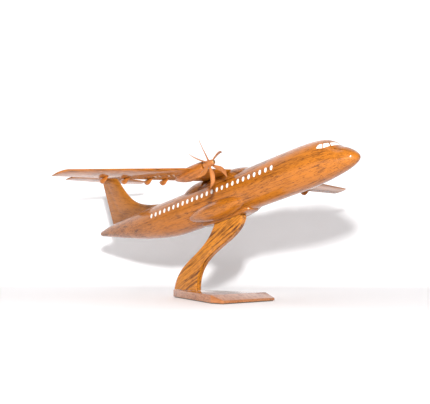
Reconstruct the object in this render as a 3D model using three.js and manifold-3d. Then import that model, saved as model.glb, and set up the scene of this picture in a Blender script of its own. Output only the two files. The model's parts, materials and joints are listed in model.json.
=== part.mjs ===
// A carved and varnished wooden desk model of a high-wing, twin-turboprop airliner with a T-tail.
// It stands nose-up on two steel pins in the top of an S-shaped arm, which is screwed to a spade-shaped
// base plate. Both propellers turn on brass pins, and the aircraft lifts off the stand.
// Millimetres. +X is forward, +Y is to port, +Z is up. The origin is the centre of the base's underside.
// The aircraft is built in its own axes: X is minus the distance behind the nose tip, and Z is measured
// from the axis of the fuselage's straight length.

import * as THREE from 'three';
import { mergeVertices } from 'three/addons/utils/BufferGeometryUtils.js';
import Module from 'manifold-3d';

const wasm = await Module();
wasm.setup();

// Fits
const glueGap = 0.3; // left round every joint between two pieces of wood
const pinClearance = 0.15; // radial, round pins, dowels and screws
const restGap = 0.1; // between flat faces that rest on each other

// Fuselage
const fuselageLength = 400;
const fuselageRadius = 21.1;
const noseLength = 75;
const noseDrop = 8; // tip of the nose below the axis
const tailLength = 148;
const tailRise = 14.7; // tip of the tail above the axis
const tailTipRadius = 0.8;

// Wing, measured at the middle of its thickness
const wingSpan = 401;
const wingStation = 152; // leading edge of the straight centre section, behind the nose
const wingCentreChord = 41;
const wingTipChord = 20.5;
const wingTipSweep = 17.5; // tip leading edge behind the centre's
const wingCentreThickness = 5;
const wingTipThickness = 2.4;
const wingBedding = 2.4; // how far the wing's middle lies above the top of the fuselage
const wingDroop = 6.3; // tips below the centre
const wingEdgeThickness = 0.8; // trailing edge
const wingTipRounding = 5; // length of the tip's rounded corners
const wingTipCorner = 7; // how far they cut into each edge
const wingUpperShare = 0.56; // of the thickness that lies above the middle

// Saddle that beds the wing on the fuselage
const saddleNoseLength = 24; // ahead of the wing
const saddleTailLength = 38; // behind the wing
const saddleEndLength = 15; // each end, over which the plan rounds in
const saddleHalfWidth = 16;
const saddleSeatDrop = 8; // the fuselage's flat seat below its top
const saddleFrontHeight = 4; // above the top of the fuselage
const saddleRearHeight = 5.9;

// Nacelles and propellers
const nacelleSpacing = 117.6; // between the propeller axes
const nacelleLength = 45.7;
const nacelleOverhang = 13.6; // ahead of the wing's leading edge
const nacelleFaceRadius = 4.5;
const nacelleHalfWidth = 6.8;
const nacelleTopHeight = 5.6; // above the propeller axis
const nacelleKeelDepth = 9.8; // below the propeller axis
const propellerAxisDrop = 0.9; // below the middle of the wing there
const propellerRadius = 24.6;
const bladeRootPitch = 58; // degrees out of the propeller's plane
const bladeTipPitch = 36;
const bladeMaxChord = 4.8;
const bladeThickness = 1.2;
const bladeShankRadius = 0.9;
const bladeSocketDepth = 1.7;
const bladeAngles = [14, 67, 142, 204, 272, 319]; // degrees from the starboard side, set by hand
const propellerTurns = { left: -31, right: 0 }; // degrees, where each propeller has come to rest
const hubLength = 12.2;
const hubBackRadius = 4.2;
const hubFrontRadius = 2.7;
const hubBladeStation = 6; // ahead of the hub's back face
const hubRounding = 1.1; // front edge
const hubBackChamfer = 0.4;
const pinRadius = 0.8;
const pinHeadRadius = 1.7;
const pinHeadThickness = 0.8;
const pinDepthInNacelle = 14;
const washerRadius = 2.8;
const washerThickness = 0.5;

// Fairings under the flaps
const fairingPlaces = [68.5, 89, 118, 144]; // from the centreline
const fairingLength = 25;
const fairingHalfWidth = 1.6;
const fairingDepth = 4.6; // below the wing's underside
const fairingOverhang = 5; // behind the trailing edge

// Undercarriage sponsons and the flat pad between them
const sponsonStation = 132; // front end behind the nose
const sponsonLength = 92;
const sponsonInset = 7.1; // each one's middle inside the fuselage's side
const sponsonHalfWidth = 12.4;
const sponsonHalfHeight = 9.6;
const sponsonRise = 8.5; // middle above the fuselage's underside
const padStation = 138;
const padLength = 74;
const padInset = 5; // each side inside the sponson's middle
const padDrop = 1.8; // flat face below the fuselage
const standRestPlace = 0.49; // the point over the arm's middle, as a share of the pad's length

// Fin and tailplane
const finHeight = 55; // from the top of the fuselage
const finFootReach = 98; // from the trailing edge forward to the end of the dorsal fillet
const finTopChord = 28;
const finEdgeBeforeTail = 26.5; // trailing edge at the foot, ahead of the tail's tip
const finSweep = 10; // trailing edge at the top, behind the foot's
const finThickness = 5.2;
const finFootChord = 54; // without the fillet
const tailplaneSpan = 112;
const tailplaneCentreChord = 26;
const tailplaneTipChord = 14;
const tailplaneTipSweep = 10;
const tailplaneThickness = 3.2;
const tailplaneTipCorner = 4; // how far the tip's corners round in
const tailplaneSetback = 2; // trailing edge behind the fin's

// Dowels
const wingDowelRadius = 2;
const wingDowelDepth = 9; // into the fuselage below the saddle
const finDowelRadius = 1;
const finDowelReach = 8; // above and below the top of the fuselage
const finDowelPlaces = [60, 34]; // ahead of the fin's trailing edge
const wingDowelPlaces = [0.24, 0.56]; // along the wing's chord
const tailplanePinRadius = 0.7;
const tailplanePinLength = 14;

// Stand
const noseUpAngle = 13.2; // degrees
const baseLength = 114.2;
const baseThickness = 7.8;
const baseRearHalfWidth = 4.5;
const baseShoulderHalfWidth = 39.5;
const baseFrontHalfWidth = 37;
const baseShoulderSetback = 15.5; // shoulders behind the front edge
const baseFrontEdgeHeight = 2.6;
const feltThickness = 0.6;
const feltInset = 1.5;
const armThickness = 7.8;
const armFootLength = 37.3;
const armHeight = 70.7; // top rear corner above the base plate
const armReach = 64; // top rear corner ahead of the foot's rear corner
const armTopLength = 44.6;
const armTopCornerRadius = 4;
const screwRadius = 1.8;
const screwLength = 18;
const screwHeadRadius = 3.6;
const screwHeadSink = 0.8; // above the base plate's underside
const screwHeadRim = 0.6;
const screwPointLength = 3;
const screwPointRadius = 0.3;
const screwPlaces = [0.3, 0.8]; // along the arm's foot, as shares of its length
const standPinRadius = 1.5;
const standPinDepth = 12; // into the arm
const standPinStandout = 9; // above the arm
const standPinSpacing = 24;

// Facets
const roundSides = 28;
const smallSides = 16;
const bladeSides = 8;

// Places worked out from the sizes
const fuselageTop = fuselageRadius;
const wingHeight = fuselageTop + wingBedding;
const wingHalfSpan = wingSpan / 2;
const propellerY = nacelleSpacing / 2;
const propellerHeight = wingMiddleHeight(propellerY) - propellerAxisDrop;
const nacelleStation = wingStation - nacelleOverhang;
const hubBackStation = nacelleStation - washerThickness - 2 * glueGap;
const finEdgeStation = fuselageLength - finEdgeBeforeTail;
const tailplaneHeight = fuselageTop + finHeight;
const tailplaneStation = finEdgeStation + finSweep - finTopChord + tailplaneSetback;
const sponsonSpread = fuselageRadius - sponsonInset;
const sponsonMiddle = -fuselageRadius + sponsonRise;
const padHalfWidth = sponsonSpread - padInset;
const padBottom = -fuselageRadius - padDrop;
const baseBottom = feltThickness + restGap;
const baseTop = baseBottom + baseThickness;
const armFootRear = -baseLength / 2 + glueGap;
const armFootZ = baseTop + restGap;
const noseUp = THREE.MathUtils.degToRad(noseUpAngle);
const armTopRear = new THREE.Vector2(armFootRear + armReach, armFootZ + armHeight);
const armTopDirection = new THREE.Vector2(Math.cos(noseUp), Math.sin(noseUp));
const armTopMiddle = armTopRear.clone().addScaledVector(armTopDirection, armTopLength / 2);
const restStation = padStation + padLength * standRestPlace;

const wood = { color: 0xb5692c, roughness: 0.25, metalness: 0 };
const standWood = { color: 0xb87a3c, roughness: 0.3, metalness: 0 };
const brass = { color: 0xc9a24a, roughness: 0.3, metalness: 1 };
const steel = { color: 0xa9adb0, roughness: 0.35, metalness: 1 };
const felt = { color: 0x2c3a2e, roughness: 0.95, metalness: 0 };

// ---- shaping helpers ----

// A point of the aircraft, from its distance behind the nose tip.
function at(station, y, z) {
  return new THREE.Vector3(-station, y, z);
}

// Skins a row of rings with equal point counts and closes both ends.
function loft(rings) {
  const sides = rings[0].length;
  const points = rings.flat();
  const triangles = [];
  for (let ring = 0; ring < rings.length - 1; ring += 1) {
    for (let side = 0; side < sides; side += 1) {
      const a = ring * sides + side;
      const b = ring * sides + ((side + 1) % sides);
      triangles.push(a, b, b + sides, a, b + sides, a + sides);
    }
  }
  for (const [first, turn] of [[0, false], [(rings.length - 1) * sides, true]]) {
    const middle = new THREE.Vector3();
    for (let side = 0; side < sides; side += 1) middle.addScaledVector(points[first + side], 1 / sides);
    points.push(middle);
    for (let side = 0; side < sides; side += 1) {
      const edge = [first + side, first + ((side + 1) % sides)];
      triangles.push(...(turn ? edge : edge.reverse()), points.length - 1);
    }
  }
  const geometry = new THREE.BufferGeometry().setFromPoints(points);
  geometry.setIndex(triangles);
  return faceOut(geometry);
}

// Turns a closed geometry right side out.
function faceOut(geometry) {
  const { position } = geometry.attributes;
  const corner = (n) => new THREE.Vector3().fromBufferAttribute(position, geometry.index.getX(n));
  let volume = 0;
  for (let n = 0; n < geometry.index.count; n += 3) {
    volume += corner(n).dot(corner(n + 1).cross(corner(n + 2)));
  }
  if (volume < 0) geometry.setIndex(Array.from(geometry.index.array).reverse());
  return geometry;
}

function toSolid(geometry) {
  const bare = geometry.clone();
  bare.deleteAttribute('normal');
  bare.deleteAttribute('uv');
  const merged = mergeVertices(bare, 1e-4);
  const vertProperties = Float32Array.from(merged.attributes.position.array);
  const triVerts = Uint32Array.from(merged.index.array);
  return new wasm.Manifold(new wasm.Mesh({ numProp: 3, vertProperties, triVerts }));
}

function toGeometry(solid) {
  const mesh = solid.getMesh();
  const geometry = new THREE.BufferGeometry();
  geometry.setAttribute('position', new THREE.BufferAttribute(mesh.vertProperties, 3));
  geometry.setIndex(new THREE.BufferAttribute(mesh.triVerts, 1));
  geometry.computeVertexNormals();
  return geometry;
}

function cut(geometry, ...tools) {
  let solid = toSolid(geometry);
  for (const tool of tools) solid = solid.subtract(toSolid(tool));
  return toGeometry(solid);
}

function join(geometry, ...others) {
  let solid = toSolid(geometry);
  for (const other of others) solid = solid.add(toSolid(other));
  return toGeometry(solid);
}

function common(geometry, other) {
  return toGeometry(toSolid(geometry).intersect(toSolid(other)));
}

// A round bar between two points.
function bar(from, to, radius, sides = smallSides) {
  const along = to.clone().sub(from);
  const geometry = new THREE.CylinderGeometry(radius, radius, along.length(), sides);
  const direction = along.clone().normalize();
  const turn = new THREE.Quaternion().setFromUnitVectors(new THREE.Vector3(0, 1, 0), direction);
  geometry.applyQuaternion(turn);
  const middle = from.clone().add(to).multiplyScalar(0.5);
  return geometry.translate(middle.x, middle.y, middle.z);
}

// A box from its lowest to its highest corner.
function block(low, high) {
  const size = high.clone().sub(low);
  const middle = high.clone().add(low).multiplyScalar(0.5);
  return new THREE.BoxGeometry(size.x, size.y, size.z).translate(middle.x, middle.y, middle.z);
}

// An oval ring across the aircraft's length, between two heights.
function ovalRing(station, y, halfWidth, lowest, highest, sides = roundSides) {
  const middle = (lowest + highest) / 2;
  const halfHeight = (highest - lowest) / 2;
  return Array.from({ length: sides }, (_, n) => {
    const angle = (2 * Math.PI * n) / sides;
    return at(station, y + halfWidth * Math.cos(angle), middle + halfHeight * Math.sin(angle));
  });
}

// Half the thickness of a streamlined section at a share of its chord, for a full thickness of 1.
function sectionHalf(share) {
  const curve = 1.4845 * Math.sqrt(share) - 0.63 * share - 1.758 * share ** 2;
  return Math.max(curve + 1.4215 * share ** 3 - 0.518 * share ** 4, 0);
}

// The section's outline as pairs: share of the chord from the leading edge, and height.
function sectionOutline(thickness, edgeThickness, upperShare) {
  const steps = 8;
  const upper = [];
  const lower = [];
  for (let n = 0; n <= steps; n += 1) {
    const share = (1 - Math.cos((Math.PI * n) / steps)) / 2;
    const half = sectionHalf(share) * thickness + (edgeThickness / 2) * share;
    upper.push([share, 2 * half * upperShare]);
    lower.push([share, -2 * half * (1 - upperShare)]);
  }
  return [...upper, ...lower.slice(1).reverse()];
}

function mix(from, to, share) {
  return from + (to - from) * share;
}

// ---- fuselage ----

// Crown of the nose: share of the nose's length, share of its height from the tip to the top.
const noseCrown = [
  [0.008, 0.08], [0.027, 0.15], [0.067, 0.26], [0.16, 0.433], [0.24, 0.536], [0.267, 0.625],
  [0.307, 0.722], [0.373, 0.832], [0.48, 0.921], [0.667, 0.979], [1, 1],
];

function fuselageRings(extra) {
  const radius = fuselageRadius + extra;
  const rings = noseCrown.map(([share, rise]) => {
    const swell = Math.sqrt(1 - (1 - share) ** 2);
    const lowest = -noseDrop - (fuselageRadius - noseDrop) * swell - extra;
    const highest = -noseDrop + (fuselageRadius + noseDrop) * rise + extra;
    return ovalRing(noseLength * share, 0, fuselageRadius * swell + extra, lowest, highest);
  });
  const tailStation = fuselageLength - tailLength;
  const middleSteps = 4;
  for (let n = 1; n < middleSteps; n += 1) {
    const station = mix(noseLength, tailStation, n / middleSteps);
    rings.push(ovalRing(station, 0, radius, -radius, radius));
  }
  const tailSteps = 12;
  for (let n = 0; n <= tailSteps; n += 1) {
    const share = n / tailSteps;
    const tip = tailTipRadius * share;
    const halfWidth = fuselageRadius * (1 - share ** 2) + tip + extra;
    const lowest = mix(-fuselageRadius, tailRise, share ** 1.5) - tip - extra;
    const highest = mix(fuselageRadius, tailRise, share ** 6) + tip + extra;
    rings.push(ovalRing(tailStation + tailLength * share, 0, halfWidth, lowest, highest));
  }
  return rings;
}

function fuselage() {
  const finDowelHoles = finDowelStations.map((station) => finDowel(station, pinClearance));
  const wingDowelHoles = wingDowelStations.map((station) => wingDowel(station, pinClearance));
  const holes = [...finDowelHoles, ...wingDowelHoles, ...standPinHoles()];
  return cut(loft(fuselageRings(0)), saddlePlug(glueGap), ...holes);
}

// ---- wing ----

function wingMiddleHeight(y) {
  return wingHeight - (wingDroop * Math.abs(y)) / wingHalfSpan;
}

const wingStraightHalf = nacelleSpacing / 2 + 3; // the chord is constant as far as here

// One section of the wing, with extra material all round for a cutting tool.
function wingRing(y, extra) {
  const outboard = Math.max(0, Math.abs(y) - wingStraightHalf) / (wingHalfSpan - wingStraightHalf);
  const tipEnd = Math.max(0, Math.abs(y) - (wingHalfSpan - wingTipRounding)) / wingTipRounding;
  const corner = wingTipCorner * tipEnd ** 2;
  const chord = mix(wingCentreChord, wingTipChord, outboard) - corner + 2 * extra;
  const front = wingStation + wingTipSweep * outboard + corner - extra;
  const fullThickness = mix(wingCentreThickness, wingTipThickness, Math.abs(y) / wingHalfSpan);
  const thickness = fullThickness * (1 - 0.45 * tipEnd ** 2);
  return sectionOutline(thickness, wingEdgeThickness, wingUpperShare).map(([share, height]) => {
    const z = wingMiddleHeight(y) + height + Math.sign(height) * extra;
    return at(front + chord * share, y, z);
  });
}

function wingSolid(extra) {
  const roundingStart = wingHalfSpan - wingTipRounding;
  const rounding = [0, 0.6, 1].map((share) => roundingStart + wingTipRounding * share);
  const tapering = [0, 0.4, 0.75].map((share) => mix(wingStraightHalf, roundingStart, share));
  const places = [5, ...tapering, ...rounding].flatMap((y) => [y, -y]).sort((a, b) => a - b);
  return loft(places.map((y) => wingRing(y, extra)));
}

function wing() {
  return cut(wingSolid(0), ...wingDowelStations.map((station) => wingDowel(station, pinClearance)));
}

// ---- wing saddle ----

const saddleLength = saddleNoseLength + wingCentreChord + saddleTailLength;
const saddleStation = wingStation - saddleNoseLength;
const saddleSeat = fuselageTop - saddleSeatDrop;

// Half the width of the saddle's plan outline at a share of its length: a straight strip with rounded ends.
function saddlePlanHalf(share) {
  const fromEnd = Math.min(share, 1 - share) * saddleLength;
  const roundedAway = Math.max(0, 1 - fromEnd / saddleEndLength);
  return saddleHalfWidth * Math.sqrt(1 - roundedAway ** 2);
}

// A straight-sided plug of the saddle's plan outline, down to its flat seat.
function saddlePlug(extra) {
  const outline = [];
  const steps = 20;
  for (let n = 0; n <= steps; n += 1) {
    const share = (1 - Math.cos((Math.PI * n) / steps)) / 2;
    const x = -saddleStation - saddleLength * share + extra * (1 - 2 * share);
    outline.push(new THREE.Vector2(x, Math.max(saddlePlanHalf(share), 1) + extra));
  }
  const mirrored = outline.map((p) => new THREE.Vector2(p.x, -p.y)).reverse();
  const plan = new THREE.Shape([...outline, ...mirrored]);
  const plug = new THREE.ExtrudeGeometry(plan, { depth: fuselageRadius, bevelEnabled: false });
  return plug.translate(0, 0, saddleSeat - extra);
}

// The full-shouldered hump that rises over the fuselage ahead of and behind the wing.
function saddleHump() {
  const steps = 14;
  const sides = 24;
  const frontRamp = 0.28; // share of the length over which it rises
  const rearRamp = 0.27; // and over which it falls
  const sink = 1.5; // its ends lie this far below the top of the fuselage
  const shoulder = 0.5; // below 1 squares the section's shoulders
  const squared = (value) => Math.sign(value) * Math.abs(value) ** shoulder;
  const rings = [];
  for (let n = 0; n <= steps; n += 1) {
    const share = n / steps;
    const before = Math.max(0, 1 - share / frontRamp);
    const behind = Math.max(0, 1 - (1 - share) / rearRamp);
    const rise = 1 - Math.max(before, behind) ** 2;
    const fullHeight = fuselageTop + mix(saddleFrontHeight, saddleRearHeight, share);
    const crown = mix(fuselageTop - sink, fullHeight, rise);
    const halfWidth = saddleHalfWidth * mix(0.75, 1, rise);
    const middle = crown * 0.4;
    const station = saddleStation + saddleLength * share;
    rings.push(Array.from({ length: sides }, (_, side) => {
      const angle = (2 * Math.PI * side) / sides;
      const y = halfWidth * squared(Math.cos(angle));
      return at(station, y, mix(middle, crown, squared(Math.sin(angle))));
    }));
  }
  return loft(rings);
}

function wingSaddle() {
  const body = common(saddlePlug(0), join(loft(fuselageRings(0)), saddleHump()));
  const reach = 2 * fuselageRadius;
  const channelLow = at(wingStation + wingCentreChord + glueGap, -reach, wingHeight);
  const channelHigh = at(wingStation - glueGap, reach, wingHeight + reach);
  const dowels = wingDowelStations.map((station) => wingDowel(station, pinClearance));
  return cut(body, wingSolid(glueGap), block(channelLow, channelHigh), ...dowels);
}

const wingDowelStations = wingDowelPlaces.map((share) => wingStation + wingCentreChord * share);

function wingDowel(station, clearance) {
  const low = at(station, 0, saddleSeat - wingDowelDepth - 2 * clearance);
  const high = at(station, 0, wingHeight + 1 + clearance);
  return bar(low, high, wingDowelRadius + clearance);
}

// ---- nacelles ----

// A carved pod that swells behind the propeller, deepest under the wing, and thins to a blade at the rear.
function nacelle(side) {
  const steps = 12;
  const swellEnd = 0.38; // share of the length where it reaches full width
  const taperStart = 0.42;
  const rearHalfWidth = 0.5;
  const rearTop = propellerHeight + 0.8;
  const rearKeel = propellerHeight - nacelleFaceRadius + 1.8;
  const rings = [];
  for (let n = 0; n <= steps; n += 1) {
    const share = n / steps;
    const front = Math.sqrt(1 - Math.max(0, 1 - share / swellEnd) ** 2);
    const thinning = Math.max(0, (share - taperStart) / (1 - taperStart)) ** 1.9;
    const halfWidth = mix(mix(nacelleFaceRadius, nacelleHalfWidth, front), rearHalfWidth, thinning);
    const top = mix(propellerHeight + mix(nacelleFaceRadius, nacelleTopHeight, front), rearTop, thinning);
    const keel = mix(propellerHeight - mix(nacelleFaceRadius, nacelleKeelDepth, front), rearKeel, thinning);
    const station = nacelleStation + nacelleLength * share;
    rings.push(ovalRing(station, side * propellerY, halfWidth, keel, top, 20));
  }
  return cut(loft(rings), wingSolid(glueGap), propellerPinShank(side, pinClearance));
}

// ---- propellers ----

function propellerPinShank(side, clearance) {
  const front = hubBackStation - hubLength - glueGap;
  const back = nacelleStation + pinDepthInNacelle + clearance;
  const y = side * propellerY;
  return bar(at(front, y, propellerHeight), at(back, y, propellerHeight), pinRadius + clearance);
}

function propellerPin(side) {
  const front = hubBackStation - hubLength - glueGap;
  const y = side * propellerY;
  const headFront = at(front - pinHeadThickness, y, propellerHeight);
  const head = bar(headFront, at(front, y, propellerHeight), pinHeadRadius);
  return join(propellerPinShank(side, 0), head);
}

function propellerWasher(side) {
  const y = side * propellerY;
  const front = hubBackStation + glueGap;
  const back = front + washerThickness;
  const ring = bar(at(front, y, propellerHeight), at(back, y, propellerHeight), washerRadius);
  return cut(ring, propellerPinShank(side, pinClearance));
}

function bladeDirection(angle) {
  const turn = THREE.MathUtils.degToRad(angle);
  return new THREE.Vector3(0, -Math.cos(turn), Math.sin(turn));
}

// The blades' roots are set just clear of the hub's tapering side, and their shanks reach into it.
const bladeRootRadius = mix(hubBackRadius, hubFrontRadius, hubBladeStation / hubLength) + 0.35;
const bladeShankInner = bladeRootRadius - bladeSocketDepth;

function bladeCentre(side) {
  return at(hubBackStation - hubBladeStation, side * propellerY, propellerHeight);
}

function propellerHub(side, angles) {
  const profile = [
    new THREE.Vector2(0, 0),
    new THREE.Vector2(hubBackRadius - hubBackChamfer, 0),
    new THREE.Vector2(hubBackRadius, hubBackChamfer),
    new THREE.Vector2(hubFrontRadius, hubLength - hubRounding),
    new THREE.Vector2(hubFrontRadius - hubRounding * 0.4, hubLength - hubRounding * 0.35),
    new THREE.Vector2(hubFrontRadius - hubRounding, hubLength),
    new THREE.Vector2(0, hubLength),
  ];
  const hub = new THREE.LatheGeometry(profile, roundSides).rotateZ(-Math.PI / 2);
  const back = at(hubBackStation, side * propellerY, propellerHeight);
  hub.translate(back.x, back.y, back.z);
  const sockets = angles.map((angle) => {
    const outward = bladeDirection(angle);
    const inner = bladeCentre(side).addScaledVector(outward, bladeShankInner - pinClearance);
    const outer = bladeCentre(side).addScaledVector(outward, hubBackRadius + bladeShankRadius);
    return bar(inner, outer, bladeShankRadius + pinClearance, bladeSides);
  });
  return cut(faceOutLathe(hub), propellerPinShank(side, pinClearance), ...sockets);
}

// A lathe's seam and poles are merged before its facing is tested.
function faceOutLathe(geometry) {
  geometry.deleteAttribute('normal');
  geometry.deleteAttribute('uv');
  return faceOut(mergeVertices(geometry, 1e-4));
}

// Curved blade: a round shank, then thin sections that widen, twist and sweep back to the tip.
// Rows: share of the radius, share of the widest chord, share of the thickness, forward bow in chords.
const bladeSections = [
  [0.19, 0.5, 1, 0], [0.28, 0.7, 0.95, 0.05], [0.42, 0.95, 0.85, 0.2], [0.58, 1, 0.7, 0.26],
  [0.74, 0.88, 0.55, 0.16], [0.88, 0.62, 0.45, -0.1], [0.96, 0.36, 0.4, -0.38], [1, 0.14, 0.35, -0.6],
];

function bladeRing(radius, chord, thickness, bow, pitch) {
  const angle = THREE.MathUtils.degToRad(90 - pitch);
  const chordwise = new THREE.Vector3(Math.cos(angle), -Math.sin(angle), 0);
  const across = new THREE.Vector3(Math.sin(angle), Math.cos(angle), 0);
  return Array.from({ length: bladeSides }, (_, n) => {
    const turn = (2 * Math.PI * (n + 0.5)) / bladeSides;
    return new THREE.Vector3(0, 0, radius)
      .addScaledVector(chordwise, bow + (chord / 2) * Math.cos(turn))
      .addScaledVector(across, (thickness / 2) * Math.sin(turn));
  });
}

function blade(side, angle) {
  const shank = 2 * bladeShankRadius;
  const rings = [bladeShankInner, bladeRootRadius].map((r) => bladeRing(r, shank, shank, 0, bladeRootPitch));
  for (const [reach, width, thin, bow] of bladeSections) {
    const pitch = mix(bladeRootPitch, bladeTipPitch, reach);
    const chord = bladeMaxChord * width;
    rings.push(bladeRing(propellerRadius * reach, chord, bladeThickness * thin, bladeMaxChord * bow, pitch));
  }
  const geometry = loft(rings);
  geometry.rotateX(THREE.MathUtils.degToRad(90 - angle));
  const centre = bladeCentre(side);
  return geometry.translate(centre.x, centre.y, centre.z);
}

// ---- fairings under the flaps ----

// A small canoe glued under the wing, its rear end past the trailing edge.
function flapFairing(side, y) {
  const steps = 8;
  const endSwell = 0.12; // share of the full section left at its ends
  const trailingEdge = Math.max(...wingRing(y, 0).map((point) => -point.x));
  const front = trailingEdge + fairingOverhang - fairingLength;
  const top = wingMiddleHeight(y) - glueGap;
  const rings = [];
  for (let n = 0; n <= steps; n += 1) {
    const share = n / steps;
    const swell = Math.max(Math.sin(Math.PI * share ** 0.8) ** 0.7, endSwell);
    const keel = top - wingTipThickness / 2 - fairingDepth * swell;
    rings.push(ovalRing(front + fairingLength * share, side * y, fairingHalfWidth * swell, keel, top, 10));
  }
  return cut(loft(rings), wingSolid(glueGap));
}

// ---- undercarriage sponsons and belly pad ----

// A shallow block under the fuselage, flat below, with its corners drawn in and its ends feathered up.
function bellyPadSolid(extra) {
  const rings = [0, 0.04, 0.14, 0.3, 0.7, 0.86, 0.96, 1].map((share) => {
    const end = Math.min(1, 0.45 + 2.4 * Math.sqrt(share), 0.45 + 2.4 * Math.sqrt(1 - share));
    const halfWidth = padHalfWidth * end + extra;
    const station = padStation + padLength * share;
    const depth = Math.min(1, 0.35 + 5 * share, 0.35 + 5 * (1 - share));
    const bottom = mix(-fuselageRadius, padBottom, depth) - extra;
    return [
      at(station, -halfWidth, -fuselageRadius / 2),
      at(station, halfWidth, -fuselageRadius / 2),
      at(station, halfWidth, bottom),
      at(station, -halfWidth, bottom),
    ];
  });
  return loft(rings);
}

function bellyPad() {
  return cut(bellyPadSolid(0), loft(fuselageRings(glueGap)), ...standPinHoles());
}

// A fat teardrop against the lower side of the fuselage, its ends drawn up and in.
function sponson(side) {
  const steps = 12;
  const endSwell = 0.1;
  const endRise = 2.5;
  const endInset = 2;
  const rings = [];
  for (let n = 0; n <= steps; n += 1) {
    const share = n / steps;
    const swell = Math.max(Math.sin(Math.PI * share ** 0.9) ** 0.6, endSwell);
    const halfHeight = sponsonHalfHeight * swell;
    const middle = sponsonMiddle + endRise * (1 - swell);
    const station = sponsonStation + sponsonLength * share;
    const y = side * (sponsonSpread - endInset * (1 - swell));
    const halfWidth = sponsonHalfWidth * swell;
    rings.push(ovalRing(station, y, halfWidth, middle - halfHeight, middle + halfHeight, 20));
  }
  return cut(loft(rings), loft(fuselageRings(glueGap)), bellyPadSolid(glueGap));
}

// ---- fin and tailplane ----

// The fin's front edge and dorsal fillet: how far ahead of the trailing edge at a share of the height.
function finReach(share) {
  const filletFade = 7.5; // larger brings the fillet down sooner
  const chord = mix(finFootChord, finTopChord, share ** 0.85);
  return mix(chord, finFootReach, Math.exp(-filletFade * share));
}

function finSolid() {
  const shares = [-0.1, 0, 0.04, 0.09, 0.15, 0.24, 0.36, 0.52, 0.72, 0.96];
  const rings = shares.map((share) => {
    const level = fuselageTop + finHeight * share;
    const edge = finEdgeStation + finSweep * share;
    const chord = finReach(Math.max(share, 0));
    const thickness = finThickness * mix(1, 0.62, Math.max(share, 0));
    const outline = sectionOutline(thickness, wingEdgeThickness, 0.5);
    return outline.map(([along, y]) => at(edge - chord * (1 - along), y, level));
  });
  return loft(rings);
}

function fin() {
  const aboveTailplane = block(
    new THREE.Vector3(-2 * fuselageLength, -fuselageRadius, tailplaneHeight),
    new THREE.Vector3(0, fuselageRadius, tailplaneHeight + finHeight),
  );
  const dowels = finDowelStations.map((station) => finDowel(station, pinClearance));
  const neighbours = [loft(fuselageRings(glueGap)), tailplaneSolid(glueGap)];
  return cut(finSolid(), ...neighbours, aboveTailplane, tailplanePin(pinClearance), ...dowels);
}

const finDowelStations = finDowelPlaces.map((ahead) => finEdgeStation - ahead);

function finDowel(station, clearance) {
  const low = at(station, 0, fuselageTop - finDowelReach - clearance);
  const high = at(station, 0, fuselageTop + finDowelReach + clearance);
  return bar(low, high, finDowelRadius + clearance);
}

function tailplaneSolid(extra) {
  const half = tailplaneSpan / 2;
  const rounding = 5;
  const halfPlaces = [3, half - rounding, half - rounding * 0.3, half];
  const places = halfPlaces.flatMap((y) => [y, -y]).sort((a, b) => a - b);
  const rings = places.map((y) => {
    const share = Math.abs(y) / half;
    const tipEnd = Math.max(0, Math.abs(y) - (half - rounding)) / rounding;
    const corner = tailplaneTipCorner * tipEnd ** 2;
    const chord = mix(tailplaneCentreChord, tailplaneTipChord, share) - corner + 2 * extra;
    const front = tailplaneStation + tailplaneTipSweep * share + corner - extra;
    const thickness = mix(tailplaneThickness, tailplaneThickness * 0.62, share) * (1 - 0.4 * tipEnd ** 2);
    return sectionOutline(thickness, wingEdgeThickness, 0.5).map(([along, height]) =>
      at(front + chord * along, y, tailplaneHeight + height + Math.sign(height) * extra));
  });
  return loft(rings);
}

function tailplanePin(clearance) {
  const station = tailplaneStation + tailplaneCentreChord * 0.24;
  const high = at(station, 0, tailplaneHeight + 0.3 + clearance);
  const low = at(station, 0, tailplaneHeight + 0.3 - tailplanePinLength - clearance);
  return bar(low, high, tailplanePinRadius + clearance);
}

// ---- stand ----

function baseOutline(inset) {
  const rear = -baseLength / 2 + inset;
  const front = baseLength / 2 - inset;
  const shoulder = baseLength / 2 - baseShoulderSetback;
  return new THREE.Shape([
    new THREE.Vector2(rear, -baseRearHalfWidth + inset / 2),
    new THREE.Vector2(shoulder, -baseShoulderHalfWidth + inset),
    new THREE.Vector2(front, -baseFrontHalfWidth + inset),
    new THREE.Vector2(front, baseFrontHalfWidth - inset),
    new THREE.Vector2(shoulder, baseShoulderHalfWidth - inset),
    new THREE.Vector2(rear, baseRearHalfWidth - inset / 2),
  ]);
}

// The plate's front is planed down from the shoulders to a thin lip.
function basePlate() {
  const plate = new THREE.ExtrudeGeometry(baseOutline(0), { depth: baseThickness, bevelEnabled: false });
  plate.translate(0, 0, baseBottom);
  const shoulder = baseLength / 2 - baseShoulderSetback;
  const past = baseLength / 2 + 1;
  const lip = new THREE.Shape([
    new THREE.Vector2(shoulder, baseTop),
    new THREE.Vector2(baseLength / 2, baseBottom + baseFrontEdgeHeight),
    new THREE.Vector2(past, baseBottom + baseFrontEdgeHeight),
    new THREE.Vector2(past, baseTop + 1),
    new THREE.Vector2(shoulder, baseTop + 1),
  ]);
  const planed = new THREE.ExtrudeGeometry(lip, { depth: 4 * baseShoulderHalfWidth, bevelEnabled: false });
  planed.rotateX(Math.PI / 2).translate(0, 2 * baseShoulderHalfWidth, 0);
  return cut(plate, planed, ...screwPlaces.map((place) => standScrew(place, pinClearance)));
}

function baseFelt() {
  return new THREE.ExtrudeGeometry(baseOutline(feltInset), { depth: feltThickness, bevelEnabled: false });
}

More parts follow.
